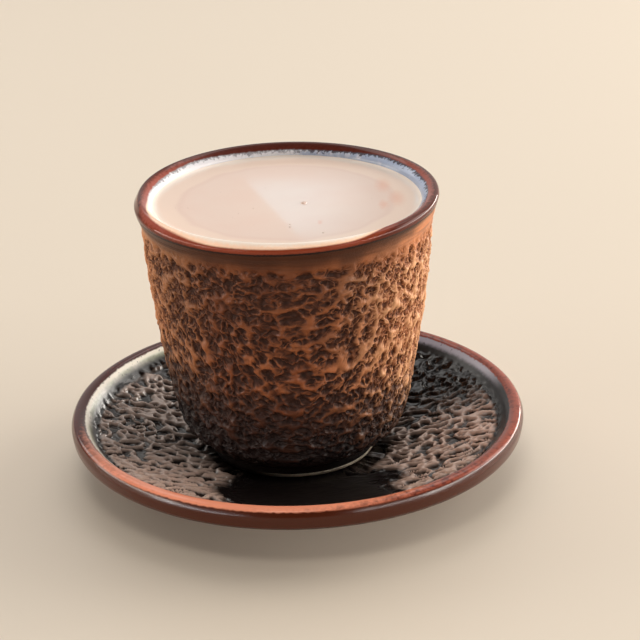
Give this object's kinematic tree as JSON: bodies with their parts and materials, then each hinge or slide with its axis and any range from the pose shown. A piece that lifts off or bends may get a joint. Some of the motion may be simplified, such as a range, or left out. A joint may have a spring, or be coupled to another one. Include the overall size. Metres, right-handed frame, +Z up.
{
  "type": "hot chocolate in a cup with saucer",
  "caption": "Handleless stoneware cup with a crinkled brown glaze, filled with hot chocolate almost to its lip, standing in a round dark saucer with a rolled rim.",
  "frame": {"origin": "centre of the saucer's foot ring, on the surface that it stands on", "axes": "+Z up along the saucer's axis, +Y away from the viewer of the picture, +X to the viewer's right"},
  "size_m": [0.135, 0.135, 0.0876],
  "materials": {
    "saucer_glaze": "glossy near-black glaze over a crinkled surface, breaking to red-brown on the rim",
    "cup_glaze": "satin brown glaze, near black in the pits and towards the foot, with a glossy red-brown lip and a bluish white lining",
    "hot_chocolate": "smooth milky liquid with a soft sheen"
  },
  "bodies": {
    "root": {"saucer": "saucer_glaze", "cup": "cup_glaze", "hot_chocolate": "hot_chocolate"}
  },
  "joints": []
}
